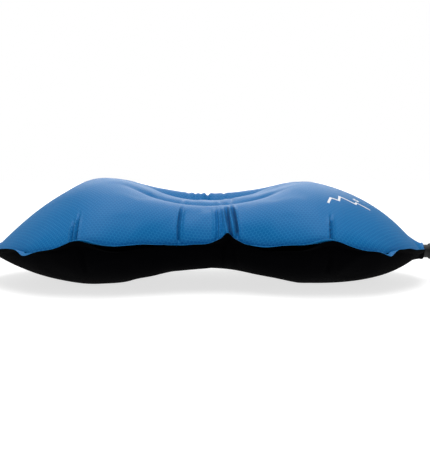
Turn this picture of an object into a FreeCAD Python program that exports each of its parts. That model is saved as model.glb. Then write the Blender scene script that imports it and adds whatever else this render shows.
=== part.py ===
"""Inflatable camp pillow: two fabric skins welded round a waisted outline, two tie webs and a twist valve.

Millimetres, +Z up. The origin is on the resting plane, midway between the lobes that the pillow stands on.
+X runs along the pillow's length towards the valve, and -Y is the long side that faces the user's shoulders.
"""

import FreeCAD, Part

import math
import os

V = FreeCAD.Vector

# ---------------------------------------------------------------- driving dimensions
# Plan outline of the weld line
HALF_LENGTH = 228.0  # origin to the weld line at either tip
END_BULGE = 41.0  # how far an end bows out past its two corners
END_HALF_WIDTH = 110.0  # half the width between the two corners of an end
BELLY_HALF_WIDTH = 146.0  # half the width at the lobes, before the corners round it off
WAIST_HALF_WIDTH = 108.0  # half the width at the waist
BELLY_REACH = 125.0  # distance from the middle at which the outline has swollen to the belly
CORNER_POWER = 6  # the higher, the later the outline turns in towards the corners

# Heights of the weld line and of the two inflated skins
SEAM_HEIGHT = 50.0  # weld line above the resting plane at the waist
TIP_DROOP = 19.0  # how much lower the weld line is at the tips
TOP_AT_WAIST = 40.0  # crest above the weld line at the waist
TOP_LOBE_RISE = 32.0  # further rise of the crest in the lobes
TOP_LOBE_REACH = 138.0  # distance from the middle at which the top lobes are full
TOP_LOBE_POWER = 2.3  # the higher, the flatter the dip between the top lobes
TOP_END_POWER = 2.5  # the higher, the more suddenly the top falls to the tips
BOTTOM_AT_WAIST = 31.0  # belly below the weld line at the waist
BOTTOM_LOBE_PRESS = 4.5  # how far the free lobes would bulge below the resting plane
BOTTOM_LOBE_REACH = 119.0  # distance from the middle at which the bottom lobes are full
BOTTOM_LOBE_POWER = 1.8  # the higher, the flatter the arch between the bottom lobes
BOTTOM_END_POWER = 4.8  # the higher, the more suddenly the bottom rises to the tips
WAIST_SQUARENESS = 4.0  # exponent of the cross-section at the waist: a flattened arch
LOBE_SQUARENESS = 2.0  # exponent of the cross-section in the lobes: half an ellipse

# Fabric, weld and tie webs
WALL = 0.8  # coated fabric of each skin, also in the weld
WELD_WIDTH = 6.0  # flat weld that stands out round the outline
WELD_GAP = 0.5  # between the two skins' faces in the weld
REST_BLEND = 1.0  # how gently the lobes flatten where they rest
WEB_OFFSET = 36.0  # each tie web from the centre line
WEB_HALF_LENGTH = 75.0
WEB_THICKNESS = 0.8
WEB_GAP = 0.4  # between a web's edges and the skins that it ties together
GROOVE_TOP = 9.0  # how deep a web pulls the top skin in
GROOVE_BOTTOM = 6.0  # how deep it pulls the bottom skin in
GROOVE_SPREAD = 9.0  # how far each side of a web its pull is felt
GROOVE_RUN_OUT = 1.25  # where the groove has faded away, as a share of the web's half length

# Twist valve, along +X through the weld at the right-hand tip. Places are counted outwards from the weld line.
# Valve body: a neck in a boat-shaped base that the two skins are welded to
NECK_BORE = 4.2
NECK_WALL = 2.8
NECK_INSIDE = 14.0  # how far the neck reaches inwards, to the plunger's seat
NECK_OUTSIDE = 14.0
BASE_OUTER_FACE = -1.0  # short of the weld line, so that the weld closes over the base
BASE_THICKNESS = 9.0
BASE_HALF_WIDTH = 18.0
BASE_COVER = 0.6  # of the base above and below the neck
BASE_CLEARANCE = 0.4  # base and neck to the skins
BEAD_HEIGHT = 0.5  # snap bead that keeps the knob on the neck
BEAD_WIDTH = 1.6
BEAD_SETBACK = 4.6  # bead to the neck's outer end
KNOB_RING_SETBACK = 2.0  # sealing ring to the neck's outer end

# Sealing rings and clearances
RING_SECTION = 0.8  # radius of both sealing rings' section
RING_CLEARANCE = 0.05
RUNNING_CLEARANCE = 0.1  # plunger in the knob's hub and in its guide slots
TURNING_CLEARANCE = 0.25  # knob round the neck

# Plunger
KEY_WIDTH = 1.0
KEY_BITE = 0.7  # how far a key reaches into the neck's wall
KEY_SETBACK = 1.5  # keys to the neck's inner end
KEY_LENGTH = 15.5
KEY_TRAVEL_ROOM = 1.5  # slot past the keys' outer end
STEM_RADIUS = 2.4
STEM_SETBACK = 0.4  # stem's end to the hub's outer face
HEAD_INSET = 0.2  # head's rim inside the neck's
HEAD_LENGTH = 3.2
HEAD_STANDOFF = 0.6  # closed head to its seat
HEAD_RING_INSET = 1.4  # centre line of the ring in the head's face, inside the neck's rim

# Knob
KNOB_WALL = 2.25  # round the neck
KNOB_SKIRT_WALL = 0.75  # at the knob's inner end
KNOB_GAP = 1.5  # knob's inner end to the weld's outer edge
KNOB_SKIRT_LENGTH = 5.5
KNOB_GRIPS = 16  # flutes round the knob
GRIP_DEPTH = 0.7
GRIP_RADIUS = 1.1
KNOB_EDGE = 0.8  # chamfer at the knob's outer end
HUB_GAP = 0.4  # neck's outer end to the hub
HUB_LENGTH = 5.4
CUP_DEPTH = 4.2  # hollow at the hub's outer face, up to the knob's end
VENTS = 4
VENT_RADIUS = 1.1
VENT_RING = 4.2
NOZZLE_WALL = 1.6
NOZZLE_BORE = 4.4
NOZZLE_LENGTH = 8.0
NOZZLE_EDGE = 0.6

CUT_PAST = 1.0  # how far a cutter runs past the faces that it opens

# ---------------------------------------------------------------- drawing resolution
STATIONS_LONG = 41
STATIONS_WIDE = 81
WELD_STEPS = 40
WEB_STEPS = 16

# ---------------------------------------------------------------- sizes that follow from the others
CORNER_X = HALF_LENGTH - END_BULGE
VALVE_HEIGHT = SEAM_HEIGHT - TIP_DROOP
BOTTOM_LOBE_DROP = SEAM_HEIGHT - WELD_GAP / 2 - WALL - BOTTOM_AT_WAIST + BOTTOM_LOBE_PRESS
RING_ROOM = RING_SECTION + RING_CLEARANCE

NECK_RADIUS = NECK_BORE + NECK_WALL
NECK_START = -NECK_INSIDE
NECK_END = NECK_OUTSIDE
BASE_END = BASE_OUTER_FACE
BASE_START = BASE_END - BASE_THICKNESS
BASE_HALF_HEIGHT = NECK_RADIUS + BASE_COVER
BEAD_STATION = NECK_END - BEAD_SETBACK
KNOB_RING_STATION = NECK_END - KNOB_RING_SETBACK

HUB_START = NECK_END + HUB_GAP
HUB_END = HUB_START + HUB_LENGTH
KNOB_START = WELD_WIDTH + KNOB_GAP
KNOB_END = HUB_END + CUP_DEPTH
KNOB_SOCKET = NECK_RADIUS + TURNING_CLEARANCE
KNOB_RADIUS = KNOB_SOCKET + KNOB_WALL
KNOB_SKIRT_RADIUS = KNOB_SOCKET + KNOB_SKIRT_WALL
NOZZLE_RADIUS = NOZZLE_BORE + NOZZLE_WALL
NOZZLE_END = KNOB_END + NOZZLE_LENGTH

KEY_RADIUS = NECK_BORE + KEY_BITE
KEY_START = NECK_START + KEY_SETBACK
KEY_END = KEY_START + KEY_LENGTH
STEM_END = HUB_END - STEM_SETBACK
HEAD_RADIUS = NECK_RADIUS - HEAD_INSET
HEAD_RING_RADIUS = NECK_RADIUS - HEAD_RING_INSET


# ---------------------------------------------------------------- inflated form
def swell(x, reach):
    """0 at the waist and 1 from reach outwards."""
    return math.sin(math.pi / 2 * min(1.0, abs(x) / reach))


def half_width(x):
    """Half the outline's width between its two long sides."""
    swollen = WAIST_HALF_WIDTH + (BELLY_HALF_WIDTH - WAIST_HALF_WIDTH) * swell(x, BELLY_REACH) ** 2
    return swollen - (BELLY_HALF_WIDTH - END_HALF_WIDTH) * abs(x / CORNER_X) ** CORNER_POWER


def plan_point(u, v, inset):
    """Plan position for u along and v across the pillow, both -1 to 1, with the outline drawn in by inset."""
    bow = END_BULGE * abs(u) ** 3 * (1 - v * v)
    x = u * (CORNER_X - inset) + math.copysign(bow, u)
    y = v * (half_width(u * CORNER_X) - inset)
    return x, y


def seam_height(x):
    return SEAM_HEIGHT - TIP_DROOP * abs(x / HALF_LENGTH) ** 4


def groove(x, y, depth):
    """How far the tie webs pull a skin in."""
    reach = min(1.0, abs(x) / (WEB_HALF_LENGTH * GROOVE_RUN_OUT))
    along = math.cos(math.pi / 2 * reach) ** 2
    across = math.exp(-(((abs(y) - WEB_OFFSET) / GROOVE_SPREAD) ** 2))
    return depth * along * across


def end_fall(x, v, power):
    """Share of the height that is left at x on the way to an end, down to 0 on the end's weld line."""
    outline = CORNER_X + END_BULGE * (1 - v * v)
    return 1 - min(1.0, abs(x) / outline) ** power


def arch(v, x):
    """Share of the crest's height at v across the pillow."""
    squareness = WAIST_SQUARENESS + (LOBE_SQUARENESS - WAIST_SQUARENESS) * swell(x, BELLY_REACH) ** 2
    return math.sqrt(max(0.0, 1 - abs(v) ** squareness))


def top_height(x, y, v):
    """Outer face of the top skin."""
    crest = TOP_AT_WAIST + TOP_LOBE_RISE * swell(x, TOP_LOBE_REACH) ** TOP_LOBE_POWER
    crest *= end_fall(x, v, TOP_END_POWER)
    rise = (crest - groove(x, y, GROOVE_TOP)) * arch(v, x)
    return seam_height(x) + WELD_GAP / 2 + WALL + rise


def bottom_height(x, y, v):
    """Outer face of the bottom skin, which flattens where it rests."""
    belly = BOTTOM_AT_WAIST + BOTTOM_LOBE_DROP * swell(x, BOTTOM_LOBE_REACH) ** BOTTOM_LOBE_POWER
    belly *= end_fall(x, v, BOTTOM_END_POWER)
    drop = (belly - groove(x, y, GROOVE_BOTTOM)) * arch(v, x)
    free = seam_height(x) - WELD_GAP / 2 - WALL - drop
    if free > REST_BLEND:
        return free
    return max(0.0, free + REST_BLEND) ** 2 / (4 * REST_BLEND)


def long_stations():
    return [2 * i / (STATIONS_LONG - 1) - 1 for i in range(STATIONS_LONG)]


def wide_stations():
    """Stations across the pillow, which bunch up at the long sides, where the skin turns over."""
    return [math.sin(math.pi / 2 * (2 * i / (STATIONS_WIDE - 1) - 1)) for i in range(STATIONS_WIDE)]


def plan_surface(height, inset):
    """Smooth surface over the pillow's plan, with height(x, y, v) giving z."""
    rows = []
    for u in long_stations():
        row = []
        for v in wide_stations():
            x, y = plan_point(u, v, inset)
            row.append(V(x, y, height(x, y, v)))
        rows.append(row)
    surface = Part.BSplineSurface()
    surface.interpolate(rows)
    return surface


def border(surface):
    """The four edges round a surface, in the order of weld_edges."""
    u0, u1, v0, v1 = surface.bounds()
    curves = [surface.vIso(v0), surface.uIso(u1), surface.vIso(v1), surface.uIso(u0)]
    return [curve.toShape() for curve in curves]


def weld_outlines():
    """The flat weld's outer edge in plan: front side, right end, rear side, left end, each from -1 to 1."""
    steps = [2 * i / WELD_STEPS - 1 for i in range(WELD_STEPS + 1)]
    front = [plan_point(u, -1, 0) for u in steps]
    right = [plan_point(1, v, 0) for v in steps]
    once_round = front[:-1] + right[:-1]
    once_round += [(-x, -y) for x, y in once_round]
    grown = []
    for i, (x, y) in enumerate(once_round):
        x0, y0 = once_round[i - 1]
        x1, y1 = once_round[(i + 1) % len(once_round)]
        before = V(y - y0, x0 - x, 0).normalize()
        after = V(y1 - y, x - x1, 0).normalize()
        out = (before + after).normalize()
        grown.append((x + out.x * WELD_WIDTH, y + out.y * WELD_WIDTH))
    front = grown[: WELD_STEPS + 1]
    right = grown[WELD_STEPS : 2 * WELD_STEPS + 1]
    return [front, right, [(x, -y) for x, y in front], [(-x, y) for x, y in right]]


def weld_edges(lift):
    """The flat weld's outer edge, at a height above the weld line."""
    edges = []
    for outline in weld_outlines():
        curve = Part.BSplineCurve()
        curve.interpolate([V(x, y, seam_height(x) + lift) for x, y in outline])
        edges.append(curve.toShape())
    return edges


def skin(height, side):
    """Closed fabric shell with its flat weld: the top skin for side 1, the bottom skin for side -1."""
    outer = plan_surface(height, 0)
    inner = plan_surface(lambda x, y, v: height(x, y, v) - side * WALL, WALL)
    outer_rim = weld_edges(side * (WELD_GAP / 2 + WALL))
    inner_rim = weld_edges(side * WELD_GAP / 2)
    faces = [outer.toShape(), inner.toShape()]
    for edges in zip(border(outer), outer_rim, inner_rim, border(inner)):
        faces += [Part.makeRuledSurface(edges[i], edges[i + 1]) for i in range(3)]
    shell = Part.makeShell(faces)
    shell.sewShape()
    solid = Part.makeSolid(shell)
    if solid.Volume < 0:
        solid.reverse()
    return solid.cut(valve_passage())


# ---------------------------------------------------------------- tie webs
def web(side):
    """Upright tie web, in front of the centre line for side -1 and behind it for side 1."""
    y = side * WEB_OFFSET
    curves = []
    for height, towards in ((top_height, -1), (bottom_height, 1)):
        points = []
        for i in range(WEB_STEPS + 1):
            x = WEB_HALF_LENGTH * (2 * i / WEB_STEPS - 1)
            z = height(x, y, y / half_width(x)) + towards * (WALL + WEB_GAP)
            points.append(V(x, y - WEB_THICKNESS / 2, z))
        curve = Part.BSplineCurve()
        curve.interpolate(points)
        curves.append(curve.toShape())
    top, bottom = curves
    ends = [Part.makeLine(top.Vertexes[i].Point, bottom.Vertexes[i].Point) for i in (0, 1)]
    return Part.Face(Part.Wire(Part.__sortEdges__([top, bottom] + ends))).extrude(V(0, WEB_THICKNESS, 0))


# ---------------------------------------------------------------- twist valve
def station(distance):
    """Point on the valve's line, at a distance from the weld line."""
    return V(HALF_LENGTH + distance, 0, VALVE_HEIGHT)


def rod(radius, start, end):
    return Part.makeCylinder(radius, end - start, station(start), V(1, 0, 0))


def tube(outer, bore, start, end):
    return rod(outer, start, end).cut(rod(bore, start - CUT_PAST, end + CUT_PAST))


def ring(radius, at):
    return Part.makeTorus(radius, RING_SECTION, station(at), V(1, 0, 0))


def boat(growth):
    """Boat-shaped base: two shallow arcs that meet in a thin edge at each side."""
    width, height = BASE_HALF_WIDTH + growth, BASE_HALF_HEIGHT + growth
    start = station(BASE_START - growth)
    left, right = start - V(0, width, 0), start + V(0, width, 0)
    arcs = [Part.Arc(left, start + V(0, 0, side * height), right).toShape() for side in (1, -1)]
    return Part.Face(Part.Wire(arcs)).extrude(V(BASE_END - BASE_START + 2 * growth, 0, 0))


def valve_passage():
    """What the skins leave free for the valve."""
    grown = NECK_RADIUS + BASE_CLEARANCE
    return boat(BASE_CLEARANCE).fuse(rod(grown, NECK_START - CUT_PAST, NECK_END))


def keys(growth, start, end):
    """Two fins across the bore that stop the plunger from turning."""
    reach = KEY_RADIUS + growth
    width = KEY_WIDTH + 2 * growth
    corner = station(start) - V(0, reach, width / 2)
    return Part.makeBox(end - start, 2 * reach, width, corner)


def valve_body():
    neck = rod(NECK_RADIUS, NECK_START, NECK_END)
    bead = rod(NECK_RADIUS + BEAD_HEIGHT, BEAD_STATION - BEAD_WIDTH / 2, BEAD_STATION + BEAD_WIDTH / 2)
    bore = rod(NECK_BORE, NECK_START - CUT_PAST, NECK_END + CUT_PAST)
    slot = keys(RUNNING_CLEARANCE, NECK_START - CUT_PAST, KEY_END + KEY_TRAVEL_ROOM)
    floor = KNOB_SOCKET - RING_CLEARANCE - 2 * RING_ROOM
    groove_start, groove_end = KNOB_RING_STATION - RING_ROOM, KNOB_RING_STATION + RING_ROOM
    ring_groove = tube(NECK_RADIUS + CUT_PAST, floor, groove_start, groove_end)
    return neck.fuse([boat(0), bead]).cut([bore, slot, ring_groove]).removeSplitter()


def knob_ring():
    """Sealing ring in the neck's groove, just short of the knob that turns round it."""
    return ring(KNOB_SOCKET - RING_CLEARANCE - RING_SECTION, KNOB_RING_STATION)


def head_ring():
    """Sealing ring in the plunger's face, just short of its seat."""
    return ring(HEAD_RING_RADIUS, NECK_START - RING_CLEARANCE - RING_SECTION)


def valve_plunger():
    face = NECK_START - HEAD_STANDOFF
    head = rod(HEAD_RADIUS, face - HEAD_LENGTH, face)
    outer, inner = HEAD_RING_RADIUS + RING_ROOM, HEAD_RING_RADIUS - RING_ROOM
    ring_groove = tube(outer, inner, NECK_START - 2 * RING_ROOM, NECK_START)
    stem = rod(STEM_RADIUS, face - HEAD_LENGTH / 2, STEM_END)
    return head.cut(ring_groove).fuse([stem, keys(0, KEY_START, KEY_END)]).removeSplitter()


def knob_grip():
    """Outside of the knob: a cone, a fluted drum and the nozzle."""
    cone_end = KNOB_START + KNOB_SKIRT_LENGTH
    edge_start = KNOB_END - KNOB_EDGE
    cone = Part.makeCone(KNOB_SKIRT_RADIUS, KNOB_RADIUS, KNOB_SKIRT_LENGTH, station(KNOB_START), V(1, 0, 0))
    drum = rod(KNOB_RADIUS, cone_end, edge_start)
    rim = Part.makeCone(KNOB_RADIUS, KNOB_RADIUS - KNOB_EDGE, KNOB_EDGE, station(edge_start), V(1, 0, 0))
    flute = rod(GRIP_RADIUS, cone_end + KNOB_EDGE, KNOB_END + CUT_PAST)
    flute.translate(V(0, 0, KNOB_RADIUS + GRIP_RADIUS - GRIP_DEPTH))
    flutes = []
    for i in range(KNOB_GRIPS):
        turned = flute.copy()
        turned.rotate(station(0), V(1, 0, 0), 360 * i / KNOB_GRIPS)
        flutes.append(turned)
    lip_start = NOZZLE_END - NOZZLE_EDGE
    nozzle = rod(NOZZLE_RADIUS, edge_start, lip_start)
    lip = Part.makeCone(NOZZLE_RADIUS, NOZZLE_RADIUS - NOZZLE_EDGE, NOZZLE_EDGE, station(lip_start), V(1, 0, 0))
    return cone.fuse([drum, rim]).cut(flutes).fuse([nozzle, lip])


def valve_knob():
    socket = rod(KNOB_SOCKET, KNOB_START - CUT_PAST, HUB_START)
    bead_room = BEAD_WIDTH / 2 + TURNING_CLEARANCE
    bead_groove = rod(KNOB_SOCKET + BEAD_HEIGHT, BEAD_STATION - bead_room, BEAD_STATION + bead_room)
    mouth = rod(NOZZLE_BORE, HUB_END, NOZZLE_END + CUT_PAST)
    hub_hole = rod(STEM_RADIUS + RUNNING_CLEARANCE, HUB_START - CUT_PAST, HUB_END + CUT_PAST)
    vents = []
    for i in range(VENTS):
        vent = rod(VENT_RADIUS, HUB_START - CUT_PAST, HUB_END + CUT_PAST)
        vent.translate(V(0, 0, VENT_RING))
        vent.rotate(station(0), V(1, 0, 0), 360 * (i + 0.5) / VENTS)
        vents.append(vent)
    return knob_grip().cut([socket, bead_groove, mouth, hub_hole] + vents).removeSplitter()


# ---------------------------------------------------------------- output
NODES = {
    "top_skin": lambda: skin(top_height, 1),
    "bottom_skin": lambda: skin(bottom_height, -1),
    "front_web": lambda: web(-1),
    "rear_web": lambda: web(1),
    "valve_body": valve_body,
    "valve_plunger": valve_plunger,
    "plunger_ring": head_ring,
    "knob_ring": knob_ring,
    "valve_knob": valve_knob,
}


def main():
    os.makedirs("parts", exist_ok=True)
    for name, make in NODES.items():
        shape = make()
        box = shape.BoundBox
        print(f"{name}: {len(shape.Solids)} solid, valid {shape.isValid()}, {shape.Volume / 1000:.2f} cm3,")
        print(f"    x {box.XMin:.1f} to {box.XMax:.1f}, y {box.YMin:.1f} to {box.YMax:.1f},")
        print(f"    z {box.ZMin:.1f} to {box.ZMax:.1f}")
        shape.exportStep(f"parts/{name}.step")


main()
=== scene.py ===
# %% [markdown]
# # An inflatable camp pillow
# Two coated fabric sheets are welded together round a waisted outline and blown up through a twist valve.
# Inside, two upright webs tie the sheets together across the waist, which is why the head lies in a dip
# with three rolls. The CAD model holds every size. This file dresses it: soft skins by cloth simulation,
# then creases, weld and finish.

import math

import bpy
import numpy as np
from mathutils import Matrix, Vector


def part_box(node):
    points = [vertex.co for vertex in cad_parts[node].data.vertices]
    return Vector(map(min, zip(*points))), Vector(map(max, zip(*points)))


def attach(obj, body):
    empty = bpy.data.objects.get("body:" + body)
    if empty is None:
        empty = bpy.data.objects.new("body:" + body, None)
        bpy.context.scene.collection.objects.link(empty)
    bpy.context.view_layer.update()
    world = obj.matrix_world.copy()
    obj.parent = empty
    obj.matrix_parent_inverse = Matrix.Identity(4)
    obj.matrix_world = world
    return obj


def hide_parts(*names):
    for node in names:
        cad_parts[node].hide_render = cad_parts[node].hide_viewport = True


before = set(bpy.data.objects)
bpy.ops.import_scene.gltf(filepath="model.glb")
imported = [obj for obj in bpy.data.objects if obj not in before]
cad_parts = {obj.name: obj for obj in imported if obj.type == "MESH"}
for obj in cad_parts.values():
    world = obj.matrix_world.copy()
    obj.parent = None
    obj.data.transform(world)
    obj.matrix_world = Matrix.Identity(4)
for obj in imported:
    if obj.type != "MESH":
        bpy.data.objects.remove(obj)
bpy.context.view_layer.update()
bpy.ops.object.select_all(action="DESELECT")

# %% [markdown]
# ## Camera
# The pillow is looked at nearly level, from its long front side, with a long lens, so that the far edge
# hardly shrinks. The camera is placed by the point it looks at, the angle it looks down and its distance.
# The frame's width at the pillow then sets the focal length: width over distance is sensor over focal
# length.

# %% Camera
LOOK_AT = Vector((0.0084, -0.025, 0.0489))
LOOK_DOWN = math.radians(5.5)
CAMERA_DISTANCE = 1.5
FRAME_WIDTH = 0.4502  # how much of the pillow's length the frame holds, so that both tips run out of it
SENSOR = 36.0

camera = bpy.data.objects.new("camera", bpy.data.cameras.new("camera"))
bpy.context.collection.objects.link(camera)
camera.location = LOOK_AT + CAMERA_DISTANCE * Vector((0, -math.cos(LOOK_DOWN), math.sin(LOOK_DOWN)))
camera.rotation_euler = (math.pi / 2 - LOOK_DOWN, 0, 0)
camera.data.sensor_fit = "HORIZONTAL"
camera.data.sensor_width = SENSOR
camera.data.lens = SENSOR * CAMERA_DISTANCE / FRAME_WIDTH
bpy.context.scene.camera = camera
print("focal length", round(camera.data.lens, 1), "mm")

# %% [markdown]
# ## Studio
# A white floor, lit from below as a light table is, and a white surround. A wide softbox overhead lights
# the pillow and its floor evenly. A lit backdrop stands behind it: the tops, which are seen nearly
# edge-on, mirror it softly and turn pale, while the sides stay deep, and that shows how full the pillow
# is. To the camera the surround is one plain white, so that floor and background meet without a line, but
# as a light it is dimmer, so that the two panels stay the stronger ones.

# %% Studio
FLOOR_SIZE = 3.6
OVERHEAD_POWER = 100.0
BACKDROP_POWER = 12.5
SURROUND_LIGHT = 0.30
FLOOR_GLOW = 0.72


def make_floor():
    bpy.ops.mesh.primitive_plane_add(size=FLOOR_SIZE, location=(0, 0, 0))
    floor = bpy.context.object
    floor.name = "studio_floor"
    material = bpy.data.materials.new("studio_white")
    material.use_nodes = True
    shader = material.node_tree.nodes["Principled BSDF"]
    shader.inputs["Base Color"].default_value = (0.50, 0.50, 0.50, 1)
    shader.inputs["Roughness"].default_value = 0.9
    shader.inputs["Specular IOR Level"].default_value = 0.0
    shader.inputs["Emission Color"].default_value = (1, 1, 1, 1)
    shader.inputs["Emission Strength"].default_value = FLOOR_GLOW
    floor.data.materials.append(material)


def make_panel_light(name, size, power, location, target):
    light = bpy.data.objects.new(name, bpy.data.lights.new(name, "AREA"))
    bpy.context.collection.objects.link(light)
    light.data.shape = "RECTANGLE"
    light.data.size, light.data.size_y = size
    light.data.energy = power
    light.location = location
    light.rotation_euler = (Vector(target) - Vector(location)).to_track_quat("-Z", "Y").to_euler()


def make_surround():
    world = bpy.data.worlds.new("studio_surround")
    bpy.context.scene.world = world
    world.use_nodes = True
    tree = world.node_tree
    background = tree.nodes["Background"]
    background.inputs["Color"].default_value = (1, 1, 1, 1)
    seen = tree.nodes.new("ShaderNodeLightPath")
    strength = tree.nodes.new("ShaderNodeMapRange")
    strength.inputs["To Min"].default_value = SURROUND_LIGHT
    strength.inputs["To Max"].default_value = 1.0
    tree.links.new(seen.outputs["Is Camera Ray"], strength.inputs["Value"])
    tree.links.new(strength.outputs["Result"], background.inputs["Strength"])


make_floor()
make_surround()
make_panel_light("softbox_overhead", (2.0, 5.0), OVERHEAD_POWER, (0.0, 0.3, 2.8), (0, 0.3, 0))
make_panel_light("backdrop", (1.3, 0.9), BACKDROP_POWER, (0.0, 2.2, 0.75), (0, 0, 0.10))
bpy.context.scene.view_settings.view_transform = "Standard"

# %% [markdown]
# ## The inflated form
# The pillow is drawn as one grid that runs along it (u) and across it (v), both from -1 to 1. The grid's
# border is the weld line. Two such grids, one domed up and one domed down, share that border. Plain
# functions like the CAD model's say how wide, how high and how square the form is at each place. The
# length and the place of the webs are read from the CAD nodes' boxes. The widths and heights are written
# here, near the CAD model's.

# %% Sizes of the form
skin_low, skin_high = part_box("top_skin")
web_low, web_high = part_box("rear_web")
WELD_WIDTH = 0.006
HALF_LENGTH = skin_high.x - WELD_WIDTH
END_BULGE = 0.049
CORNER_X = HALF_LENGTH - END_BULGE
END_HALF_WIDTH = 0.110
BELLY_HALF_WIDTH = 0.146
WAIST_HALF_WIDTH = 0.108
BELLY_REACH = 0.125
WEB_OFFSET = (web_low.y + web_high.y) / 2
WEB_HALF_LENGTH = (web_high.x - web_low.x) / 2
SEAM_HEIGHT = 0.050
TIP_DROOP = 0.019
print("weld line", round(2 * HALF_LENGTH, 3), "m long, webs", round(WEB_OFFSET, 3), "m off centre")

# %% [markdown]
# The two lobes of a blown-up pillow are never quite alike. So the left and the right lobe have their own
# numbers here: how much higher than the waist, from where they are full, how flat the dip between them
# is, and how suddenly they fall to the tip.

# %% Lobes
TOP_AT_WAIST = 0.0405
TOP_LOBES = {"rise": (0.0505, 0.0192), "reach": (0.1469, 0.1147), "flat": (2.32, 2.70), "end": (1.77, 3.51)}
BOTTOM_AT_WAIST = 0.0317
BOTTOM_LOBES = {"rise": (0.0223, 0.0176), "reach": (0.1411, 0.0958), "flat": (2.0, 2.0), "end": (3.96, 5.5)}
BOTTOM_WAIST_X = 0.009  # the underside is narrowest a little towards the valve
FRONT_LOWER = 0.13  # how much lower the front and middle rolls are than the rear one, as a share
REST_BLEND = 0.001  # how gently the lobes flatten where they rest


def swell(x, reach):
    return np.sin(np.pi / 2 * np.minimum(1.0, np.abs(x) / reach))


def smooth_step(low, high, value):
    t = np.clip((value - low) / (high - low), 0, 1)
    return t * t * (3 - 2 * t)


def half_width(x):
    swollen = WAIST_HALF_WIDTH + (BELLY_HALF_WIDTH - WAIST_HALF_WIDTH) * swell(x, BELLY_REACH) ** 2
    return swollen - (BELLY_HALF_WIDTH - END_HALF_WIDTH) * np.abs(x / CORNER_X) ** 6


def seam_height(x):
    return SEAM_HEIGHT - TIP_DROOP * np.abs(x / HALF_LENGTH) ** 4


def arch(v, x):
    """Cross-section: a flattened arch at the waist, half an ellipse in the lobes."""
    squareness = 4.0 - 2.0 * swell(x, BELLY_REACH) ** 2
    return np.sqrt(np.maximum(0.0, 1 - np.abs(v) ** squareness))


def crest(x, v, at_waist, lobes, waist_x=0.0):
    side = {key: np.where(x < waist_x, left, right) for key, (left, right) in lobes.items()}
    height = at_waist + side["rise"] * swell(x - waist_x, side["reach"]) ** side["flat"]
    to_end = np.minimum(1.0, np.abs(x) / (CORNER_X + END_BULGE * (1 - v**2)))
    return height * (1 - to_end ** side["end"])


def lean(x, y):
    """The rear roll stands highest at the waist: the share of height that is left in front of it."""
    at_waist = 1 - swell(x, BELLY_REACH) ** 2
    return 1 - FRONT_LOWER * at_waist * (1 - smooth_step(0.012, 0.055, y))


def rested(z):
    """Flattens what would reach below the floor."""
    return np.where(z > REST_BLEND, z, np.maximum(0.0, z + REST_BLEND) ** 2 / (4 * REST_BLEND))


# %% [markdown]
# The columns of the grid stand closer together at the waist, where the creases will be, and the rows
# bunch up at the long sides, where the skin turns over. One row on each side is bent so that it runs
# along the web below it: the fabric can then be held down along that row, as the weld to the web does.

# %% Grid
COLUMNS = 121
ROWS = 81
WAIST_SPACING = 0.55  # column spacing at the waist, as a share of the average
WEB_ROW = 8  # rows from the centre to the one that follows a web
BEND_END = 0.130  # along the pillow, where the bent row has eased back
BEND_EASE = 0.045


def grid_shares():
    t = np.linspace(-1, 1, COLUMNS)
    u = np.sign(t) * (WAIST_SPACING * np.abs(t) + (1 - WAIST_SPACING) * np.abs(t) ** 2)
    s = np.sin(np.pi / 2 * np.linspace(-1, 1, ROWS))
    return np.meshgrid(u, s, indexing="ij")


def web_share():
    """Where across the grid the row over a web lies, before it is bent to follow it."""
    return math.sin(math.pi / 2 * WEB_ROW * 2 / (ROWS - 1))


def plan_grid():
    u, s = grid_shares()
    width = half_width(u * CORNER_X)
    near = s / web_share()
    bend = near * np.exp((1 - near**2) / 2)
    reach = np.clip((BEND_END - np.abs(u * CORNER_X)) / BEND_EASE, 0, 1)
    v = s + (WEB_OFFSET / width - web_share()) * bend * reach**2 * (3 - 2 * reach)
    x = u * CORNER_X + np.sign(u) * np.abs(u) ** 3 * END_BULGE * (1 - v**2)
    return x, v * width, v


def held_along_web(x):
    """1 where a web holds the skin down, easing off past its ends."""
    reach = np.minimum(1.0, np.abs(x) / (WEB_HALF_LENGTH * 1.3))
    return np.cos(np.pi / 2 * reach) ** 1.5


GROOVE_TOP = 0.0105
GROOVE_BOTTOM = 0.007
GROOVE_SPREAD = 0.011


def groove(x, y, depth):
    across = np.exp(-((np.abs(np.abs(y) - WEB_OFFSET) / GROOVE_SPREAD) ** 1.4))
    return depth * held_along_web(x) * across


grid_x, grid_y, grid_v = plan_grid()
top_rise = crest(grid_x, grid_v, TOP_AT_WAIST, TOP_LOBES) * lean(grid_x, grid_y)
top_rise = (top_rise - groove(grid_x, grid_y, GROOVE_TOP)) * arch(grid_v, grid_x)
bottom_drop = crest(grid_x, grid_v, BOTTOM_AT_WAIST, BOTTOM_LOBES, BOTTOM_WAIST_X)
bottom_drop = (bottom_drop - groove(grid_x, grid_y, GROOVE_BOTTOM)) * arch(grid_v, grid_x)
top_form = np.stack([grid_x, grid_y, seam_height(grid_x) + top_rise], axis=-1)
bottom_form = np.stack([grid_x, grid_y, rested(seam_height(grid_x) - bottom_drop)], axis=-1)
print("form grid", COLUMNS, "by", ROWS, "crest", round(float(top_form[..., 2].max()), 4))

# %% [markdown]
# ## Blowing it up
# A drawn form is too even for fabric. So both grids are joined at the weld line into one closed bag,
# which Cloth blows up with gravity off. The weld line and the two rows over the webs are pinned, and the
# fabric is given a little more length than the form needs. It swells into rolls between the webs and
# gathers in small puckers where it is held. Most of the even swelling is then taken back and large moves
# are softened, so the form keeps its size, and the border that both skins share doesn't move at all.

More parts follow.
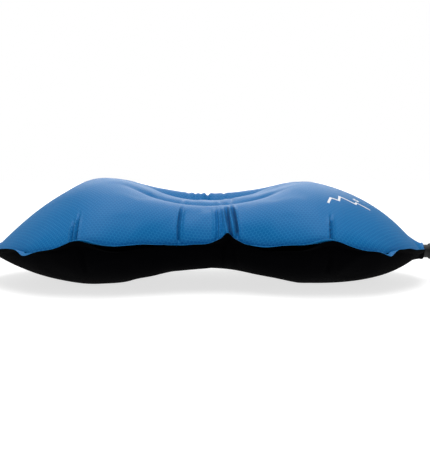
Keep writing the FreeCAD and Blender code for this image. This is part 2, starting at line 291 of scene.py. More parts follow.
# %% Closed bag
SPARE_FABRIC = 0.022
PRESSURE = 4.0
BLOW_FRAMES = 20
MOST_MOVE = 0.0016  # limit that a large move comes near
BORDER_STEPS = 6  # rows and columns over which the moves fade out towards the border
EVEN_SHARE = 0.95  # how much of the even swelling is taken back
EVEN_ROUNDS = 60  # rounds of averaging that leave only the even swelling
SOFT_ROUNDS = 5  # rounds that soften what is kept


def grid_faces(columns, rows, index, flip):
    faces = []
    for i in range(columns - 1):
        for j in range(rows - 1):
            face = (index[i, j], index[i + 1, j], index[i + 1, j + 1], index[i, j + 1])
            faces.append(face[::-1] if flip else face)
    return faces


def bag_mesh(top, bottom):
    columns, rows = top.shape[:2]
    top_index = np.arange(columns * rows).reshape(columns, rows)
    bottom_index = top_index.copy()
    inside = (columns - 2, rows - 2)
    bottom_index[1:-1, 1:-1] = columns * rows + np.arange(inside[0] * inside[1]).reshape(inside)
    points = np.concatenate([top.reshape(-1, 3), bottom[1:-1, 1:-1].reshape(-1, 3)])
    faces = grid_faces(columns, rows, top_index, False) + grid_faces(columns, rows, bottom_index, True)
    mesh = bpy.data.meshes.new("bag")
    mesh.from_pydata(points.tolist(), [], [tuple(int(n) for n in face) for face in faces])
    return mesh, top_index, bottom_index


def pinned_points(top_index, bottom_index):
    border = np.concatenate([top_index[0], top_index[-1], top_index[:, 0], top_index[:, -1]])
    over_web = np.abs(grid_x[:, ROWS // 2]) <= WEB_HALF_LENGTH
    pins = set(int(n) for n in border)
    for row in (ROWS // 2 - WEB_ROW, ROWS // 2 + WEB_ROW):
        pins |= set(int(n) for n in top_index[over_web, row])
        pins |= set(int(n) for n in bottom_index[over_web, row])
    return sorted(pins)


def blow_up(top, bottom):
    """Both grids after the cloth has been blown up and come to rest."""
    mesh, top_index, bottom_index = bag_mesh(top, bottom)
    bag = bpy.data.objects.new("bag", mesh)
    bpy.context.collection.objects.link(bag)
    pins = bag.vertex_groups.new(name="welds")
    pins.add(pinned_points(top_index, bottom_index), 1.0, "REPLACE")
    cloth = bag.modifiers.new("cloth", "CLOTH").settings
    cloth.quality = 6
    cloth.mass = 0.15
    cloth.tension_stiffness = 40
    cloth.compression_stiffness = 40
    cloth.shear_stiffness = 15
    cloth.bending_stiffness = 0.05
    cloth.air_damping = 2.0
    cloth.use_pressure = True
    cloth.uniform_pressure_force = PRESSURE
    cloth.shrink_min = -SPARE_FABRIC
    cloth.vertex_group_mass = "welds"
    cloth.effector_weights.gravity = 0
    scene = bpy.context.scene
    for step in range(1, BLOW_FRAMES + 1):
        scene.frame_set(step)
    blown = bag.evaluated_get(bpy.context.evaluated_depsgraph_get())
    points = np.array([v.co for v in blown.data.vertices])
    scene.frame_set(1)
    bpy.data.objects.remove(bag)
    return points[top_index], points[bottom_index]


def averaged(field, rounds):
    """A field on the grid, blurred by taking the mean of neighbours again and again."""
    for _ in range(rounds):
        for axis in (0, 1):
            count = field.shape[axis]
            ahead = np.concatenate([field.take(range(1, count), axis), field.take([-1], axis)], axis)
            behind = np.concatenate([field.take([0], axis), field.take(range(count - 1), axis)], axis)
            field = (ahead + 2 * field + behind) / 4
    return field


def off_border(columns, rows):
    """0 on a grid's border, which both skins share, and 1 from a few rows inside it."""
    i = np.arange(columns)
    j = np.arange(rows)
    steps = np.minimum(np.minimum(i, columns - 1 - i)[:, None], np.minimum(j, rows - 1 - j)[None, :])
    return np.clip(steps / BORDER_STEPS, 0, 1)[..., None]


def settled(before, after):
    """The blown-up grid without its even swelling, and with large moves of single points softened."""
    move = after - before
    even = averaged(move, EVEN_ROUNDS)
    move = averaged(move - EVEN_SHARE * even, SOFT_ROUNDS) * off_border(*move.shape[:2])
    length = np.linalg.norm(move, axis=-1, keepdims=True)
    return before + move / (1 + length / MOST_MOVE)


# %% Blow it up
top_blown, bottom_blown = blow_up(top_form, bottom_form)
top_blown = settled(top_form, top_blown)
bottom_blown = settled(bottom_form, bottom_blown)
moved = 1000 * np.linalg.norm(top_blown - top_form, axis=-1)
print("top skin moved", round(float(moved.mean()), 2), "mm on average, most", round(float(moved.max()), 2))

# %% [markdown]
# ## Finer fabric
# The bag is simulated coarse, because a crease is finer than cloth can settle in a few seconds. Both
# grids are then doubled by a cubic rule, twice along the pillow and once across it, as a subdivision
# surface would do it. The grid's order is kept, which makes the next steps simple, and a narrow crease
# has points enough.

# %% Doubling a grid


def doubled_once(points):
    padded = np.concatenate([2 * points[:1] - points[1:2], points, 2 * points[-1:] - points[-2:-1]])
    middle = (9 * (padded[1:-2] + padded[2:-1]) - padded[:-3] - padded[3:]) / 16
    out = np.empty((2 * len(points) - 1,) + points.shape[1:])
    out[0::2] = points
    out[1::2] = middle
    return out


def refined(points):
    """Four times the columns and twice the rows."""
    return doubled_once(doubled_once(doubled_once(points)).swapaxes(0, 1)).swapaxes(0, 1)


top_fine = refined(top_blown)
bottom_fine = refined(bottom_blown)
print("fine grid", top_fine.shape[0], "by", top_fine.shape[1])

# %% [markdown]
# ## Weld line
# The weld isn't straight. Where the outline curves, the flat sheets have more edge than the full bag
# needs, so the weld rides up in a few peaks and sags between them. Each wave is a smooth hump at a place
# along the side. The skins follow it over the last few centimetres, so the waves fade out up the side.

# %% Waves of the weld line
# place along the pillow, height, reach
FRONT_WAVES = [
    (0.0, -0.0013, 0.5), (-0.176, -0.0015, 0.014), (-0.1235, 0.0048, 0.018),
    (-0.088, -0.0012, 0.010), (0.0215, 0.0046, 0.0042), (0.023, 0.0028, 0.015),
    (0.060, -0.0022, 0.016), (0.1205, 0.0050, 0.018), (0.181, -0.0028, 0.012),
]
REAR_WAVES = [
    (-0.164, -0.002, 0.015), (-0.115, 0.005, 0.020), (-0.030, 0.005, 0.016), (0.012, 0.004, 0.008),
    (0.078, -0.002, 0.020), (0.126, 0.0055, 0.021), (0.174, -0.002, 0.014),
]


def waves(x, listed):
    total = np.zeros_like(x)
    for place, height, reach in listed:
        total += height * np.exp(-(((x - place) / reach) ** 2))
    return total


WAVE_FADE = 26  # how soon the waves end up the side


def weld_waves(points):
    """Adds the waves of the weld line to a grid, fading out towards its middle."""
    rows = points.shape[1]
    v = np.sin(np.pi / 2 * np.linspace(-1, 1, rows))[None, :]
    x = points[..., 0]
    fade = np.abs(v) ** WAVE_FADE
    lift = np.where(v < 0, waves(x, FRONT_WAVES), waves(x, REAR_WAVES))
    out = points.copy()
    out[..., 2] += lift * fade
    return out


top_fine = weld_waves(top_fine)
bottom_fine = weld_waves(bottom_fine)

# %% [markdown]
# ## Room for the valve
# At the right-hand tip the two skins part and close over the valve's boat-shaped base, one above and one
# below it.

# %% Skins over the valve's base
valve_low, valve_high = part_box("valve_body")
BASE_HALF_WIDTH = (valve_high.y - valve_low.y) / 2
BASE_HALF_HEIGHT = (valve_high.z - valve_low.z) / 2
BASE_LENGTH = 0.017
BASE_GAP = 0.0006  # skin off the base


def valve_lift(x, y):
    """How far each skin stands off the weld line over the valve's base."""
    across = np.clip(1 - (y / (BASE_HALF_WIDTH * 1.08)) ** 2, 0, 1)
    along = np.clip((x - (HALF_LENGTH - BASE_LENGTH)) / BASE_LENGTH, 0, 1) ** 1.6
    return (BASE_HALF_HEIGHT + BASE_GAP) * across * along


top_fine[..., 2] += valve_lift(top_fine[..., 0], top_fine[..., 1])
bottom_fine[..., 2] -= valve_lift(bottom_fine[..., 0], bottom_fine[..., 1])

# %% [markdown]
# ## Creases
# Most of each skin is smooth, but a few creases run up from the weld where fabric is gathered: a heavy
# bunch at the front of the waist and single folds under the lobes. A crease is pushed in along the skin's
# normal, deepest at its line, with a soft lip on each side, and it tapers out at both ends.

# %% Crease tools


def normals_of(points, side):
    along = np.gradient(points, axis=0)
    across = np.gradient(points, axis=1)
    n = np.cross(along, across) * side
    return n / np.maximum(np.linalg.norm(n, axis=-1, keepdims=True), 1e-12)


def off_weld(points):
    """0 on the weld line, 1 from a few millimetres up the skin."""
    v = np.sin(np.pi / 2 * np.linspace(-1, 1, points.shape[1]))[None, :]
    return smooth_step(0.02, 0.12, np.sqrt(1 - v**2))


def fold(off):
    """Cross-section of a crease: a valley with a soft lip on each side."""
    return -np.exp(-(off**2)) + 0.33 * np.exp(-(((np.abs(off) - 2.1) / 1.1) ** 2))


CREASE_FADE = (0.061, 0.088)  # distance from the middle line over which a crease comes in


def crease(points, normals, start, end, depth, width, bow=0.0, front=True):
    """Presses one crease into a long side. start and end are (along the pillow, height), weld first."""
    x, y, z = points[..., 0], points[..., 1], points[..., 2]
    t = (z - start[1]) / (end[1] - start[1])
    line = start[0] + (end[0] - start[0]) * t + bow * 4 * t * (1 - t)
    taper = smooth_step(-0.3, 0.1, t) * (1 - smooth_step(0.62, 1.02, t)) * off_weld(points)
    there = smooth_step(*CREASE_FADE, -y if front else y)
    return points + normals * (depth * fold((x - line) / width) * taper * there)[..., None]


def gather(points, normals, start, end, depth, width):
    """Presses one short gather into the top of a roll. start and end are places in plan."""
    x, y = points[..., 0], points[..., 1]
    t = (y - start[1]) / (end[1] - start[1])
    line = start[0] + (end[0] - start[0]) * t
    taper = smooth_step(0.0, 0.25, t) * (1 - smooth_step(0.55, 1.0, t))
    return points + normals * (depth * fold((x - line) / width) * taper)[..., None]


# %% Creases of the top skin
# start and end as (along, height), depth, width, bow
TOP_FRONT_CREASES = [
    ((-0.1310, 0.044), (-0.1300, 0.076), 0.0040, 0.0009, 0.0),
    ((-0.1268, 0.046), (-0.1250, 0.083), 0.0038, 0.0009, 0.0),
    ((-0.0275, 0.054), (-0.0235, 0.089), 0.0038, 0.0012, -0.0016),
    ((0.0105, 0.056), (0.0080, 0.090), 0.0024, 0.0014, 0.0014),
    ((0.0145, 0.060), (0.0125, 0.088), 0.0016, 0.0012, 0.0010),
    ((0.0260, 0.049), (0.0180, 0.092), 0.0066, 0.0014, -0.0004),
    ((0.0300, 0.062), (0.0215, 0.094), 0.0062, 0.0013, 0.0014),
    ((0.1215, 0.050), (0.1230, 0.081), 0.0040, 0.0011, -0.0012),
]
TOP_REAR_CREASES = [
    ((-0.117, 0.050), (-0.115, 0.082), 0.0028, 0.0012, 0.0),
    ((-0.036, 0.052), (-0.030, 0.090), 0.0038, 0.0013, 0.0010),
    ((-0.029, 0.052), (-0.025, 0.086), 0.0028, 0.0012, -0.0010),
    ((0.010, 0.052), (0.014, 0.086), 0.0026, 0.0013, 0.0),
    ((0.125, 0.050), (0.123, 0.080), 0.0030, 0.0012, 0.0008),
]
# start and end in plan, depth, width
REAR_ROLL_GATHERS = [
    ((-0.0190, 0.040), (-0.022, 0.078), 0.0007, 0.0021),
    ((-0.0125, 0.036), (-0.0140, 0.084), 0.0009, 0.0020),
    ((-0.0065, 0.038), (-0.0075, 0.074), 0.0007, 0.0018),
    ((-0.0005, 0.034), (0.0010, 0.088), 0.0020, 0.0019),
    ((0.0170, 0.038), (0.0195, 0.082), 0.0008, 0.0021),
]
MIDDLE_ROLL_GATHERS = [
    ((-0.026, -0.030), (-0.024, 0.010), 0.0009, 0.0022),
    ((0.016, -0.030), (0.013, 0.006), 0.0010, 0.0022),
    ((0.024, -0.030), (0.026, 0.016), 0.0009, 0.0022),
]
top_normals = normals_of(top_fine, 1)
for start, end, depth, width, bow in TOP_FRONT_CREASES:
    top_fine = crease(top_fine, top_normals, start, end, depth, width, bow, front=True)
for start, end, depth, width, bow in TOP_REAR_CREASES:
    top_fine = crease(top_fine, top_normals, start, end, depth, width, bow, front=False)
for start, end, depth, width in REAR_ROLL_GATHERS + MIDDLE_ROLL_GATHERS:
    top_fine = gather(top_fine, top_normals, start, end, depth, width)

# %% Creases of the bottom skin
BOTTOM_CREASES = [
    ((-0.120, 0.050), (-0.118, 0.020), 0.0022, 0.0022, 0.0),
    ((0.0170, 0.058), (0.0150, 0.020), 0.0034, 0.0024, 0.0010),
    ((0.0270, 0.052), (0.0290, 0.024), 0.0022, 0.0022, 0.0),
    ((0.1200, 0.050), (0.1190, 0.020), 0.0022, 0.0022, 0.0),
]
bottom_normals = normals_of(bottom_fine, -1)
for side in (True, False):
    for start, end, depth, width, bow in BOTTOM_CREASES:
        bottom_fine = crease(bottom_fine, bottom_normals, start, end, depth, width, bow, front=side)
bottom_fine[..., 2] = np.maximum(bottom_fine[..., 2], 0.0)

# %% [markdown]
# ## Skins with their flat weld
# Each skin ends in a flat weld, 6 mm wide, where the two fabrics are fused. It is drawn as rings of
# points outwards from the border, which tilt: up at the weld's peaks, so that the black side shows, and
# down in a few lips between them. Each skin then gets its wall by Solidify. The map of each skin is the
# flat sheet that it was cut from: lengths measured along the fabric, in metres, so that the pattern is
# nearly the same size everywhere.

# %% Border of a grid


def border_loop(grid):
    """The border's values once round: front side, right end, rear side, left end."""
    return np.concatenate([grid[:-1, 0], grid[-1, :-1], grid[:0:-1, -1], grid[0, :0:-1]])


def outward(loop):
    tangent = np.roll(loop, -1, axis=0) - np.roll(loop, 1, axis=0)
    out = np.stack([tangent[:, 1], -tangent[:, 0], np.zeros(len(loop))], axis=-1)
    return out / np.linalg.norm(out, axis=-1, keepdims=True)


WELD_LIFT = 8  # degrees
# place, tilt in degrees, reach
FRONT_TILTS = [
    (-0.176, -34, 0.010), (-0.1235, 54, 0.017), (0.0215, 62, 0.015),
    (0.066, -8, 0.012), (0.1205, 54, 0.017), (0.183, -27, 0.015),
]
REAR_TILTS = [
    (-0.168, -34, 0.012), (-0.115, 54, 0.018), (-0.031, 54, 0.014), (0.012, 36, 0.010),
    (0.060, -16, 0.010), (0.126, 54, 0.018), (0.174, -36, 0.012),
]
END_TILTS = [(-0.085, 30, 0.020), (-0.036, 48, 0.034), (0.032, 16, 0.020), (0.075, 24, 0.020)]


def weld_tilt(loop):
    """How far the flat weld is turned up from level, in radians."""
    x, y = loop[:, 0], loop[:, 1]
    long_side = np.where(y < 0, waves(x, FRONT_TILTS), waves(x, REAR_TILTS))
    end = waves(y, END_TILTS)
    at_end = smooth_step(CORNER_X - 0.004, CORNER_X + 0.010, np.abs(x))
    ripple = 3 * np.sin(x * 190 + y * 140)
    return np.radians(WELD_LIFT + long_side * (1 - at_end) + end * at_end + ripple)


# %% Weld rings
WELD_RINGS = 4
NECK_TRIM = 0.72
NECK_TRIM_REACH = 0.024
SHEET = 0.0005  # fabric
SHEET_GAP = 0.00005


def weld_width(loop):
    """The weld is trimmed close to the valve's neck."""
    by_neck = np.exp(-((loop[:, 1] / NECK_TRIM_REACH) ** 4)) * (loop[:, 0] > CORNER_X)
    return WELD_WIDTH * (1 - NECK_TRIM * by_neck)


def weld_rings(loop, side):
    """Rings of the flat weld, outwards from the border, on the outer face of the top (1) or bottom (-1)."""
    out = outward(loop)
    tilt = weld_tilt(loop)
    step = weld_width(loop)[:, None] / WELD_RINGS
    up = np.array([0.0, 0.0, 1.0])
    rings = []
    place = loop
    for ring in range(WELD_RINGS + 1):
        turn = tilt * (0.55 + 0.45 * ring / WELD_RINGS)
        direction = out * np.cos(turn)[:, None] + up * np.sin(turn)[:, None]
        face = up * np.cos(turn)[:, None] - out * np.sin(turn)[:, None]
        if ring:
            place = place + direction * step
        rings.append(place + face * side * (SHEET + SHEET_GAP / 2))
    return rings


# %% Sheet coordinates


def sheet_map(points):
    """Where each point of a grid lay on the flat sheet, in metres."""
    middle = points[:, points.shape[1] // 2]
    along = np.concatenate([[0], np.cumsum(np.hypot(np.diff(middle[:, 0]), np.diff(middle[:, 2])))])
    along -= np.interp(0.0, middle[:, 0], along)
    u = np.interp(points[..., 0], middle[:, 0], along)
    step = np.linalg.norm(np.diff(points, axis=1), axis=-1)
    v = np.concatenate([np.zeros((len(points), 1)), np.cumsum(step, axis=1)], axis=1)
    v -= v[:, points.shape[1] // 2][:, None]
    return np.stack([u, v], axis=-1)


# %% Building a skin


def skin_mesh(name, grid, side):
    """Mesh of one skin with its flat weld and its sheet map."""
    columns, rows = grid.shape[:2]
    index = np.arange(columns * rows).reshape(columns, rows)
    loop_index = border_loop(index)
    loop = border_loop(grid)
    rings = weld_rings(loop, side)
    points = grid.reshape(-1, 3).copy()
    points[loop_index] = rings[0]
    flat = sheet_map(grid)
    flat_loop = border_loop(flat)
    out = outward(loop)[:, :2]
    maps = [flat.reshape(-1, 2)]
    faces = grid_faces(columns, rows, index, side < 0)
    count = len(loop_index)
    inner = loop_index
    for ring in range(1, WELD_RINGS + 1):
        outer = columns * rows + (ring - 1) * count + np.arange(count)
        for k in range(count):
            after = (k + 1) % count
            face = (inner[k], outer[k], outer[after], inner[after])
            faces.append(face if side > 0 else face[::-1])
        maps.append(flat_loop + out * WELD_WIDTH * ring / WELD_RINGS)
        inner = outer
    points = np.concatenate([points] + rings[1:])
    mesh = bpy.data.meshes.new(name)
    mesh.from_pydata(points.tolist(), [], [tuple(int(n) for n in face) for face in faces])
    flat_map = np.concatenate(maps)
    layer = mesh.uv_layers.new(name="sheet")
    corner = np.empty(len(mesh.loops), dtype=int)
    mesh.loops.foreach_get("vertex_index", corner)
    layer.data.foreach_set("uv", flat_map[corner].ravel())
    return mesh


def make_skin(name, grid, side, node):
    skin = bpy.data.objects.new(name, skin_mesh(name, grid, side))
    bpy.context.collection.objects.link(skin)
    bpy.context.view_layer.objects.active = skin
    skin.select_set(True)
    wall = skin.modifiers.new("wall", "SOLIDIFY")
    wall.thickness = SHEET
    wall.offset = -1
    wall.use_rim = True
    bpy.ops.object.modifier_apply(modifier="wall")
    bpy.ops.object.shade_smooth_by_angle(angle=math.radians(50))
    skin.select_set(False)
    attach(skin, "cushion")
    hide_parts(node)
    print(name, len(skin.data.polygons), "faces")
    return skin


top_skin = make_skin("blue_top_skin", top_fine, 1, "top_skin")
bottom_skin = make_skin("black_bottom_skin", bottom_fine, -1, "bottom_skin")

# %% [markdown]
# ## Tie webs
# Each web is a flat strip of coated cloth that stands upright inside, welded to the top skin along one
# edge and to the bottom skin along the other. It is drawn as rows of points between the row of the top
# grid that it holds and the row of the bottom grid below it, a hair inside both. Tension keeps it flat,
# apart from a slight inward scallop at its two free ends.

# %% Tie webs
WEB_THICKNESS = 0.0006
WEB_ROWS = 24
WEB_INSIDE = 0.0012  # web edge to the skin's outer face
WEB_SCALLOP = 0.006
WEB_STATIONS = 76  # points along a web


def web_edges(row):
    """The web's top and bottom edge, read from one row of each skin's grid."""
    top, bottom = top_fine[:, row], bottom_fine[:, row]
    stations = np.linspace(-WEB_HALF_LENGTH, WEB_HALF_LENGTH, WEB_STATIONS)
    edges = []
    for grid_row, inside in ((top, -WEB_INSIDE), (bottom, WEB_INSIDE)):
        y = np.interp(stations, grid_row[:, 0], grid_row[:, 1])
        z = np.interp(stations, grid_row[:, 0], grid_row[:, 2])
        edges.append(np.stack([stations, y, z + inside], axis=-1))
    return edges


def make_web(name, row, node):
    top, bottom = web_edges(row)
    share = np.linspace(0, 1, WEB_ROWS)[None, :, None]
    sheet = top[:, None] * (1 - share) + bottom[:, None] * share
    near_end = np.abs(top[:, :1] / WEB_HALF_LENGTH) ** 3
    sheet[..., 0] *= 1 - WEB_SCALLOP / WEB_HALF_LENGTH * np.sin(np.pi * share[..., 0]) * near_end
    index = np.arange(sheet.shape[0] * WEB_ROWS).reshape(sheet.shape[0], WEB_ROWS)
    faces = grid_faces(*index.shape, index, False)
    mesh = bpy.data.meshes.new(name)
    mesh.from_pydata(sheet.reshape(-1, 3).tolist(), [], [tuple(int(n) for n in face) for face in faces])
    web = bpy.data.objects.new(name, mesh)
    bpy.context.collection.objects.link(web)
    bpy.context.view_layer.objects.active = web
    wall = web.modifiers.new("wall", "SOLIDIFY")
    wall.thickness = WEB_THICKNESS
    wall.offset = 0
    web.select_set(True)
    bpy.ops.object.modifier_apply(modifier="wall")
    bpy.ops.object.shade_smooth_by_angle(angle=math.radians(40))
    web.select_set(False)
    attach(web, "cushion")
    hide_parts(node)
    return web


center_row = top_fine.shape[1] // 2
webs = [make_web("front_tie_web", center_row - 2 * WEB_ROW, "front_web"),
        make_web("rear_tie_web", center_row + 2 * WEB_ROW, "rear_web")]

# %% [markdown]
# ## Finishes
# Each finish is built from nodes. The helpers below add a node, set its sockets and link it, so that a
# finish reads as a short list of steps.

# %% Node helpers


class Finish:
    """A material under construction, with short calls for its nodes."""

    def __init__(self, name):
        self.material = bpy.data.materials.new(name)
        self.material.use_nodes = True
        self.tree = self.material.node_tree
        self.shader = self.tree.nodes["Principled BSDF"]

    def node(self, kind, **settings):
        made = self.tree.nodes.new(kind)
        for key, value in settings.items():
            setattr(made, key, value)
        return made

    def link(self, source, target):
        self.tree.links.new(source, target)

    def feed(self, socket, value):
        if isinstance(value, bpy.types.NodeSocket):
            self.link(value, socket)
        else:
            socket.default_value = value

    def math(self, operation, a, b=0.0):
        made = self.node("ShaderNodeMath", operation=operation)
        self.feed(made.inputs[0], a)
        self.feed(made.inputs[1], b)
        return made.outputs[0]

    def vector(self, operation, a, b=(0, 0, 0)):
        made = self.node("ShaderNodeVectorMath", operation=operation)
        self.feed(made.inputs[0], a)
        self.feed(made.inputs[1], b)
        return made.outputs["Value" if operation == "DOT_PRODUCT" else "Vector"]

    def mix(self, factor, a, b):
        made = self.node("ShaderNodeMix", data_type="RGBA")
        self.feed(made.inputs["Factor"], factor)
        self.feed(made.inputs["A"], a)
        self.feed(made.inputs["B"], b)
        return made.outputs["Result"]

    def noise(self, where, scale, detail=2.0):
        made = self.node("ShaderNodeTexNoise")
        self.feed(made.inputs["Vector"], where)
        made.inputs["Scale"].default_value = scale
        made.inputs["Detail"].default_value = detail
        return made.outputs["Fac"]

    def ramp(self, value, low, high):
        made = self.node("ShaderNodeMapRange", interpolation_type="SMOOTHSTEP")
        self.feed(made.inputs["Value"], value)
        made.inputs["From Min"].default_value = low
        made.inputs["From Max"].default_value = high
        return made.outputs["Result"]

    def bump(self, height, distance, strength=1.0, base=None):
        made = self.node("ShaderNodeBump")
        made.inputs["Strength"].default_value = strength
        made.inputs["Distance"].default_value = distance
        self.feed(made.inputs["Height"], height)
        if base is not None:
            self.link(base, made.inputs["Normal"])
        return made.outputs["Normal"]

    def place(self):
        return self.node("ShaderNodeTexCoord").outputs["Object"]

    def sheet(self):
        return self.node("ShaderNodeUVMap", uv_map="sheet").outputs["UV"]

    def surface(self, **inputs):
        names = {"color": "Base Color", "roughness": "Roughness", "normal": "Normal",
                 "sheen": "Sheen Weight", "sheen_roughness": "Sheen Roughness", "sheen_tint": "Sheen Tint",
                 "specular": "Specular IOR Level"}
        for key, value in inputs.items():
            self.feed(self.shader.inputs[names[key]], value)
        return self.material


# %% [markdown]
# ### Blue honeycomb knit
# The top is a stretch knit printed with a fine honeycomb: each cell is a little deeper in colour than the
# thin line round it. A honeycomb is two square-ish grids of points laid over each other, one shifted by
# half a step both ways. Whichever point is nearer is the middle of the cell, and the six-sided distance
# from it says how close the cell's edge is.

# %% Blue honeycomb knit
HONEYCOMB_PITCH = 0.0037
SQRT3 = math.sqrt(3)


def honeycomb(finish, where, pitch):
    """0 in the middle of each honeycomb cell, 1 on its edge."""
    scaled = finish.vector("SCALE", where)
    scaled.node.inputs["Scale"].default_value = 1 / pitch
    step = (1.0, SQRT3, 1.0)
    half = (0.5, SQRT3 / 2, 0.5)
    onward = finish.vector("ADD", scaled, (400, 400 * SQRT3, 0))  # far enough that nothing is negative
    whole = finish.vector("SUBTRACT", finish.vector("MODULO", onward, step), half)
    shifted = finish.vector("ADD", scaled, (400.5, 400.5 * SQRT3, 0))
    between = finish.vector("SUBTRACT", finish.vector("MODULO", shifted, step), half)
    flat = (1, 1, 0)
    whole = finish.vector("ABSOLUTE", finish.vector("MULTIPLY", whole, flat))
    between = finish.vector("ABSOLUTE", finish.vector("MULTIPLY", between, flat))
    distances = []
    for corner in (whole, between):
        slanted = finish.vector("DOT_PRODUCT", corner, (0.5, SQRT3 / 2, 0))
        level = finish.vector("DOT_PRODUCT", corner, (1, 0, 0))
        distances.append(finish.math("MAXIMUM", slanted, level))
    nearest = finish.math("MINIMUM", *distances)
    return finish.math("MULTIPLY", nearest, 2.0)


def blue_knit():
    finish = Finish("blue_honeycomb_knit")
    where = finish.sheet()
    edge = honeycomb(finish, where, HONEYCOMB_PITCH)
    line = finish.ramp(edge, 0.74, 0.94)
    cloud = finish.noise(finish.place(), 9.0, 3.0)
    cell = finish.mix(cloud, (0.0012, 0.126, 0.360, 1), (0.0024, 0.138, 0.385, 1))
    color = finish.mix(finish.math("MULTIPLY", line, 0.34), cell, (0.030, 0.290, 0.58, 1))
    knit = finish.noise(where, 2600.0, 1.0)
    relief = finish.bump(line, 0.00012, 0.6)
    fine = finish.bump(knit, 0.00005, 0.35, relief)
    return finish.surface(
        color=color, roughness=0.50, normal=fine, sheen=0.05, sheen_roughness=0.4,
        sheen_tint=(0.70, 1.0, 0.90, 1), specular=0.12,
    )


top_skin.data.materials.append(blue_knit())

# %% [markdown]
# ### Black brushed knit
# The bottom is a plain black knit, slightly brushed so that it grips. Rows of stitches show only close
# up.

# %% Black brushed knit


def black_knit():
    finish = Finish("black_brushed_knit")
    where = finish.sheet()
    stretched = finish.vector("MULTIPLY", where, (1.0, 0.55, 1.0))
    stitches = finish.noise(stretched, 1500.0, 2.0)
    brushed = finish.noise(finish.place(), 60.0, 4.0)
    color = finish.mix(brushed, (0.0004, 0.0004, 0.0007, 1), (0.0010, 0.0010, 0.0014, 1))
    relief = finish.bump(stitches, 0.0001, 0.5)
    return finish.surface(
        color=color, roughness=0.86, normal=relief, sheen=0.002, sheen_roughness=0.5, specular=0.005
    )


bottom_skin.data.materials.append(black_knit())

# %% [markdown]
# ### Web cloth, moulded plastic and rubber
# The webs are a plain coated weave. The valve is moulded in black nylon with a fine spark-eroded texture,
# and its two rings are smooth rubber, a little shinier.

# %% Web cloth, moulded plastic and rubber


def web_cloth():
    finish = Finish("coated_web_cloth")
    where = finish.place()
    weave = finish.noise(where, 1800.0, 1.0)
    color = finish.mix(finish.noise(where, 40.0, 2.0), (0.040, 0.040, 0.044, 1), (0.060, 0.060, 0.066, 1))
    return finish.surface(color=color, roughness=0.6, normal=finish.bump(weave, 0.0001, 0.4), specular=0.3)


def moulded_plastic():
    finish = Finish("black_moulded_plastic")
    where = finish.place()
    grain = finish.noise(where, 1500.0, 3.0)
    patchy = finish.noise(where, 90.0, 3.0)
    color = finish.mix(patchy, (0.0035, 0.0035, 0.0040, 1), (0.0070, 0.0070, 0.0076, 1))
    roughness = finish.node("ShaderNodeMapRange")
    finish.link(grain, roughness.inputs["Value"])
    roughness.inputs["To Min"].default_value = 0.42
    roughness.inputs["To Max"].default_value = 0.62
    relief = finish.bump(grain, 0.00008, 0.5)
    return finish.surface(color=color, roughness=roughness.outputs["Result"], normal=relief, specular=0.35)


def ring_rubber():
    finish = Finish("ring_rubber")
    bloom = finish.noise(finish.place(), 400.0, 2.0)
    color = finish.mix(bloom, (0.006, 0.006, 0.006, 1), (0.012, 0.012, 0.012, 1))
    return finish.surface(color=color, roughness=0.35, normal=finish.bump(bloom, 0.00004, 0.3), specular=0.4)


def dress(objects, material):
    for piece in objects:
        if piece.data.materials:
            for slot in piece.material_slots:
                slot.material = material
        else:
            piece.data.materials.append(material)


dress(webs, web_cloth())
dress([bpy.data.objects[name] for name in ("valve_body", "valve_plunger", "valve_knob")], moulded_plastic())
dress([bpy.data.objects[name] for name in ("plunger_ring", "knob_ring")], ring_rubber())

# %% [markdown]
# ## Print
# The right-hand lobe carries a small white print: a ridge of hills with a moon over it. It is cut flat
# from strips of even width, laid on the slope of the lobe, and pulled onto the fabric by Shrinkwrap, so
# that it bends with it.

# %% Print
PRINT_AT = 0.1420  # along the pillow
PRINT_HEIGHT = 0.0890
PRINT_WIDTH = 0.062
PRINT_TALL = 0.022
PRINT_LINE = 0.0025
PRINT_SLOPE = -0.22  # how steeply its base line falls
PRINT_FILM = 0.0003
PRINT_START = 0.004  # how far off the skin the print is laid before it is pulled on
RIDGE = [
    (-0.50, -0.42), (-0.30, 0.16), (-0.19, -0.12), (-0.02, 0.46), (0.16, -0.22), (0.25, 0.02), (0.46, -0.46),
]
MOON_AT = (0.36, 0.44)
MOON_RADIUS = 0.0036
MOON_HOLE = 0.45  # as a share of the moon's radius
STRIP_STEPS = 10
MOON_STEPS = 28


def strip_outline(points, width):
    """Left and right edge of a mitred strip of even width."""
    points = np.array(points)
    step = np.diff(points, axis=0)
    step /= np.linalg.norm(step, axis=1, keepdims=True)
    across = np.stack([-step[:, 1], step[:, 0]], axis=1)
    joint = np.concatenate([across[:1], across[:-1] + across[1:], across[-1:]])
    joint /= np.linalg.norm(joint, axis=1, keepdims=True)
    lean_in = np.concatenate([[1.0], (joint[1:-1] * across[1:]).sum(axis=1), [1.0]])
    reach = joint * (width / 2 / lean_in)[:, None]
    return points + reach, points - reach


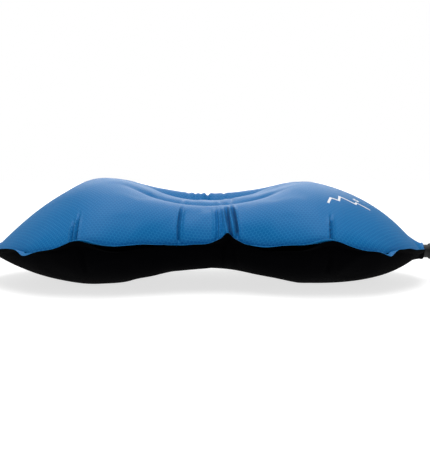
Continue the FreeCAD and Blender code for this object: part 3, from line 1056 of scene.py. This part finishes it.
def print_mesh():
    """Flat print in its own plane: ridge strip and moon ring, cut into short quads."""
    ridge = [(a * PRINT_WIDTH, b * PRINT_TALL) for a, b in RIDGE]
    left, right = strip_outline(ridge, PRINT_LINE)
    share = np.linspace(0, 1, STRIP_STEPS + 1)[:-1, None]
    edges = []
    for edge in (left, right):
        runs = [edge[i] + (edge[i + 1] - edge[i]) * share for i in range(len(edge) - 1)]
        edges.append(np.concatenate(runs + [edge[-1:]]))
    ridge_count = len(edges[0])
    turn = np.linspace(0, 2 * math.pi, MOON_STEPS, endpoint=False)
    circle = np.stack([np.cos(turn), np.sin(turn)], axis=1)
    center = np.array([MOON_AT[0] * PRINT_WIDTH, MOON_AT[1] * PRINT_TALL])
    rings = [center + circle * MOON_RADIUS * size for size in (1.0, MOON_HOLE)]
    points = np.concatenate(edges + rings)
    faces = [(i, i + 1, ridge_count + i + 1, ridge_count + i)[::-1] for i in range(ridge_count - 1)]
    moon = 2 * ridge_count
    for i in range(MOON_STEPS):
        after = (i + 1) % MOON_STEPS
        faces.append((moon + i, moon + after, moon + MOON_STEPS + after, moon + MOON_STEPS + i))
    return points, faces


def place_on_front(x_at, z_at):
    """Point, direction along and direction up the front of the top skin, at a place and height."""
    front = top_fine[:, : top_fine.shape[1] // 2]
    off = (front[..., 0] - x_at) ** 2 + (front[..., 2] - z_at) ** 2
    i, j = np.unravel_index(off.argmin(), off.shape)
    along = front[i + 3, j] - front[i - 3, j]
    up = front[i, j + 3] - front[i, j - 3]
    up /= np.linalg.norm(up)
    along /= np.linalg.norm(along)
    along = along + up * (PRINT_SLOPE * along[0] - along[2]) / (up[2] - PRINT_SLOPE * up[0])
    along /= np.linalg.norm(along)
    up -= along * (up @ along)
    return front[i, j], along, up / np.linalg.norm(up)


def make_print():
    flat, faces = print_mesh()
    at, along, up = place_on_front(PRINT_AT, PRINT_HEIGHT)
    outward_side = np.cross(along, up)
    points = at + flat[:, :1] * along + flat[:, 1:] * up + outward_side * PRINT_START
    mesh = bpy.data.meshes.new("ridge_and_moon_print")
    mesh.from_pydata(points.tolist(), [], faces)
    mark = bpy.data.objects.new("ridge_and_moon_print", mesh)
    bpy.context.collection.objects.link(mark)
    bpy.context.view_layer.objects.active = mark
    mark.select_set(True)
    wrap = mark.modifiers.new("wrap", "SHRINKWRAP")
    wrap.target = top_skin
    wrap.wrap_method = "NEAREST_SURFACEPOINT"
    wrap.wrap_mode = "OUTSIDE_SURFACE"
    wrap.offset = PRINT_FILM
    bpy.ops.object.modifier_apply(modifier="wrap")
    film = mark.modifiers.new("film", "SOLIDIFY")
    film.thickness = PRINT_FILM
    film.offset = -1
    bpy.ops.object.modifier_apply(modifier="film")
    mark.select_set(False)
    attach(mark, "cushion")
    return mark


def white_ink():
    finish = Finish("white_ink")
    worn = finish.noise(finish.place(), 900.0, 3.0)
    color = finish.mix(worn, (0.78, 0.80, 0.82, 1), (0.90, 0.91, 0.92, 1))
    return finish.surface(color=color, roughness=0.55, normal=finish.bump(worn, 0.00005, 0.3), specular=0.3)


mark = make_print()
mark.data.materials.append(white_ink())
print("print at", [round(float(n), 3) for n in place_on_front(PRINT_AT, PRINT_HEIGHT)[0]])
